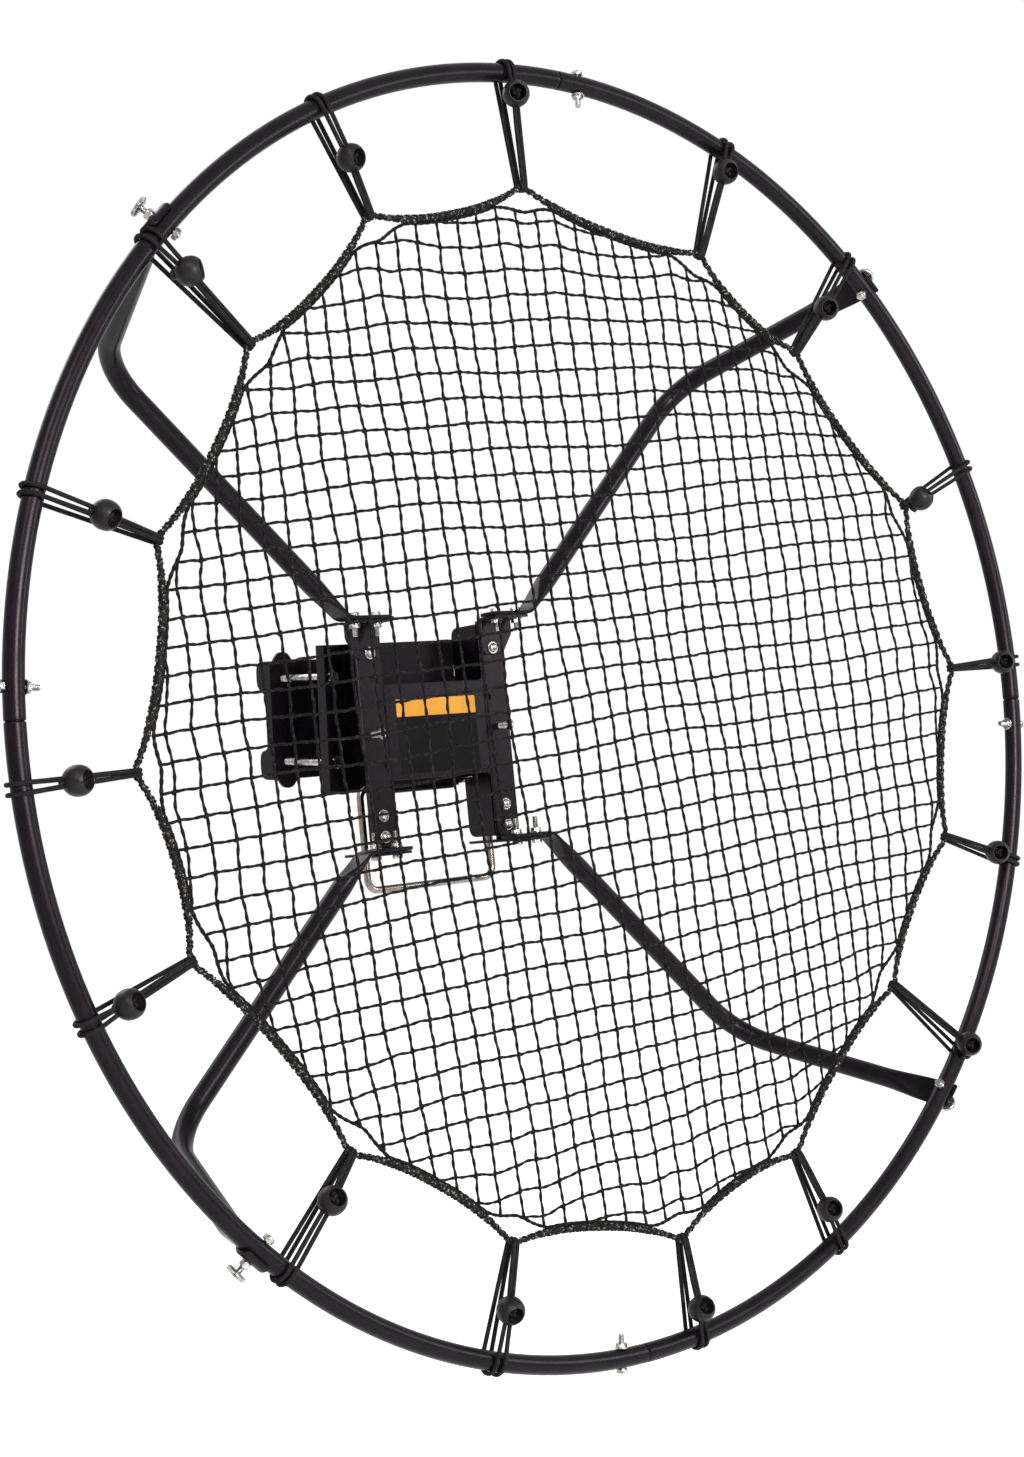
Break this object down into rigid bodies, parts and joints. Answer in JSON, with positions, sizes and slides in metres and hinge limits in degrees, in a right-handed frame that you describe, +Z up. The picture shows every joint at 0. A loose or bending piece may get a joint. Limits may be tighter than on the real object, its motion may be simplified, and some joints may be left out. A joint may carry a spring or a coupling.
{
  "type": "basketball rebounding net",
  "caption": "Round ball-return net on a jointed hoop with four bent arms and a tilting frame that clamps to a square basketball pole.",
  "frame": {"origin": "middle of the bracket's face that bears on the pole", "axes": "+Z up the pole, +Y into the pole, so the net faces -Y, and +X to the right seen from in front of the net"},
  "size_m": [1.3087, 0.5438, 1.3041],
  "materials": {
    "powder_coat": "satin black powder coat on steel",
    "zinc": "bright zinc plate",
    "nickel": "bright nickel plate",
    "net_twine": "black knotted twine",
    "elastic": "black elastic cord with a matte plastic ball"
  },
  "bodies": {
    "pole_clamp": {"pole_bracket": "powder_coat", "rear_jaw": "powder_coat", "clamp_bolt_upper_right": "zinc", "clamp_bolt_lower_right": "zinc", "clamp_bolt_lower_left": "zinc", "clamp_bolt_upper_left": "zinc", "pivot_bolt_left": "zinc", "pivot_bolt_right": "zinc"},
    "net_frame": {"front_frame": "powder_coat", "clip_upper_right": "powder_coat", "arm_upper_right": "powder_coat", "arm_bolt_upper_right_inner": "zinc", "arm_bolt_upper_right_outer": "zinc", "hoop_tube_upper_right": "powder_coat", "hoop_bolt_1": "zinc", "thumb_nut_upper_right": "zinc", "clip_lower_right": "powder_coat", "arm_lower_right": "powder_coat", "arm_bolt_lower_right_inner": "zinc", "arm_bolt_lower_right_outer": "zinc", "hoop_tube_lower_right": "powder_coat", "hoop_bolt_2": "zinc", "thumb_nut_lower_right": "zinc", "clip_lower_left": "powder_coat", "arm_lower_left": "powder_coat", "arm_bolt_lower_left_inner": "zinc", "arm_bolt_lower_left_outer": "zinc", "hoop_tube_lower_left": "powder_coat", "hoop_bolt_3": "zinc", "thumb_nut_lower_left": "zinc", "clip_upper_left": "powder_coat", "arm_upper_left": "powder_coat", "arm_bolt_upper_left_inner": "zinc", "arm_bolt_upper_left_outer": "zinc", "hoop_tube_upper_left": "powder_coat", "hoop_bolt_4": "zinc", "thumb_nut_upper_left": "zinc", "net": "net_twine", "elastic_cord_01": "elastic", "elastic_cord_02": "elastic", "elastic_cord_03": "elastic", "elastic_cord_04": "elastic", "elastic_cord_05": "elastic", "elastic_cord_06": "elastic", "elastic_cord_07": "elastic", "elastic_cord_08": "elastic", "elastic_cord_09": "elastic", "elastic_cord_10": "elastic", "elastic_cord_11": "elastic", "elastic_cord_12": "elastic", "elastic_cord_13": "elastic", "elastic_cord_14": "elastic", "elastic_cord_15": "elastic", "elastic_cord_16": "elastic"},
    "lock_rod": {"lock_rod": "nickel"},
    "thumb_screw_upper_right": {"thumb_screw_upper_right": "zinc"},
    "thumb_screw_lower_right": {"thumb_screw_lower_right": "zinc"},
    "thumb_screw_lower_left": {"thumb_screw_lower_left": "zinc"},
    "thumb_screw_upper_left": {"thumb_screw_upper_left": "zinc"}
  },
  "joints": [
    {"name": "frame_tilt", "type": "hinge", "parent": "pole_clamp", "child": "net_frame", "pos_m": [0, -0.053, -0.018], "axis": [1, 0, 0], "range_deg": [-10, 10]},
    {"name": "lock_rod_slide", "type": "slide", "parent": "net_frame", "child": "lock_rod", "axis": [0, 0.0785, 0.9969], "range_m": [0, 0.012]},
    {"name": "thumb_screw_upper_right_turn", "type": "hinge", "parent": "net_frame", "child": "thumb_screw_upper_right", "pos_m": [0.45346, -0.30653, 0.45682], "axis": [0.6519, 0.4375, 0.6194], "continuous": true},
    {"name": "thumb_screw_lower_right_turn", "type": "hinge", "parent": "net_frame", "child": "thumb_screw_lower_right", "pos_m": [0.45346, -0.37768, -0.44731], "axis": [0.6519, 0.3352, -0.6803], "continuous": true},
    {"name": "thumb_screw_lower_left_turn", "type": "hinge", "parent": "net_frame", "child": "thumb_screw_lower_left", "pos_m": [-0.45346, -0.37768, -0.44731], "axis": [-0.6519, 0.3352, -0.6803], "continuous": true},
    {"name": "thumb_screw_upper_left_turn", "type": "hinge", "parent": "net_frame", "child": "thumb_screw_upper_left", "pos_m": [-0.45346, -0.30653, 0.45682], "axis": [-0.6519, 0.4375, 0.6194], "continuous": true}
  ]
}
